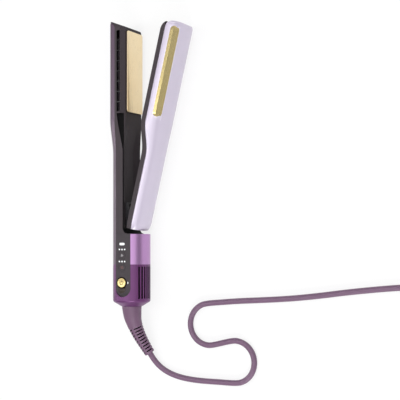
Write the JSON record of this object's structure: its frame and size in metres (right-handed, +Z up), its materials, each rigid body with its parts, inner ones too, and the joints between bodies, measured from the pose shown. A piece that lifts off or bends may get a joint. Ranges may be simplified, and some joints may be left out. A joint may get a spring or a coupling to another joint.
{
  "type": "hair straightener",
  "caption": "Wet-to-dry hair straightener with a round fan handle, fixed vented arm, sprung lever arm and gold plates, lying open on its side with its cord coiled.",
  "frame": {"origin": "middle of the appliance's own outline, on the surface that it lies on, without the cord", "axes": "+X from the fixed arm towards the side that the lever arm opens to, +Y from the cord end of the handle to the tips, +Z up out of the control panel"},
  "size_m": [0.4524, 0.4429, 0.0424],
  "materials": {
    "mauve_shell": "satin mauve moulding",
    "dark_plastic": "matte dark grey moulding",
    "satin_sleeve": "satin light purple paint",
    "plum_plastic": "satin plum moulding",
    "lilac_shell": "pale lilac satin moulding",
    "gold_plate": "champagne coated aluminium",
    "gold_trim": "pale gold trim",
    "gold_button": "pale gold button",
    "black_plastic": "matte black plastic",
    "light_white": "translucent white",
    "steel": "brushed steel",
    "board_green": "circuit board",
    "brown_carrier": "dark brown heat resistant plastic",
    "heater_tan": "mica and ceramic",
    "silicone": "soft silicone",
    "cord_plum": "matte plum rubber"
  },
  "bodies": {
    "handle": {"main_shell": "mauve_shell", "main_frame": "dark_plastic", "control_panel": "dark_plastic", "sleeve": "satin_sleeve", "lower_housing": "plum_plastic", "end_cap": "plum_plastic", "button_ring": "black_plastic", "light_windows": "light_white", "circuit_board": "board_green", "tact_switches": "steel", "filter_screen": "black_plastic", "fan_motor": "steel", "motor_mount": "black_plastic", "air_duct": "brown_carrier", "air_heater": "heater_tan", "hinge_bracket": "black_plastic", "main_plate_pads": "silicone", "bracket_screws": "black_plastic", "strain_relief": "cord_plum", "cord": "cord_plum", "cord_coil": "cord_plum", "cord_tie": "black_plastic", "plug_body": "cord_plum", "plug_pins": "steel"},
    "impeller": {"impeller": "black_plastic"},
    "main_plate": {"main_plate": "gold_plate", "main_carrier": "brown_carrier", "main_heater": "heater_tan"},
    "power_button": {"power_button": "gold_button"},
    "airflow_button": {"airflow_button": "dark_plastic"},
    "heat_button": {"heat_button": "dark_plastic"},
    "lever": {"lever_shell": "lilac_shell", "lever_frame": "dark_plastic", "accent_bar": "gold_trim", "hinge_knuckle": "black_plastic", "hinge_pin": "steel", "hinge_spring": "steel", "lever_plate_pads": "silicone", "lever_screws": "steel"},
    "lever_plate": {"lever_plate": "gold_plate", "lever_carrier": "brown_carrier", "lever_heater": "heater_tan"}
  },
  "joints": [
    {"name": "lever_hinge", "type": "hinge", "parent": "handle", "child": "lever", "pos_m": [-0.01476, -0.05409, 0.0212], "axis": [0, 0, 1], "range_deg": [0, 13.75], "stiffness_Nm_per_rad": 0.4, "springref_deg": -17.19},
    {"name": "fan_spin", "type": "hinge", "parent": "handle", "child": "impeller", "pos_m": [-0.02476, -0.11409, 0.018], "axis": [0, 1, 0], "continuous": true},
    {"name": "main_plate_press", "type": "slide", "parent": "handle", "child": "main_plate", "axis": [-1, 0, 0], "range_m": [0, 0.0008], "stiffness_N_per_m": 3000, "springref_m": -0.0006, "deforming": ["main_plate_pads"]},
    {"name": "lever_plate_press", "type": "slide", "parent": "lever", "child": "lever_plate", "axis": [0.9713, -0.2377, 0], "range_m": [0, 0.0008], "stiffness_N_per_m": 3000, "springref_m": -0.0006, "deforming": ["lever_plate_pads"]},
    {"name": "power_press", "type": "slide", "parent": "handle", "child": "power_button", "axis": [0, 0, -1], "range_m": [0, 0.0006], "stiffness_N_per_m": 1500, "springref_m": -0.0005},
    {"name": "airflow_press", "type": "slide", "parent": "handle", "child": "airflow_button", "axis": [0, 0, -1], "range_m": [0, 0.0006], "stiffness_N_per_m": 1500, "springref_m": -0.0005},
    {"name": "heat_press", "type": "slide", "parent": "handle", "child": "heat_button", "axis": [0, 0, -1], "range_m": [0, 0.0006], "stiffness_N_per_m": 1500, "springref_m": -0.0005}
  ]
}
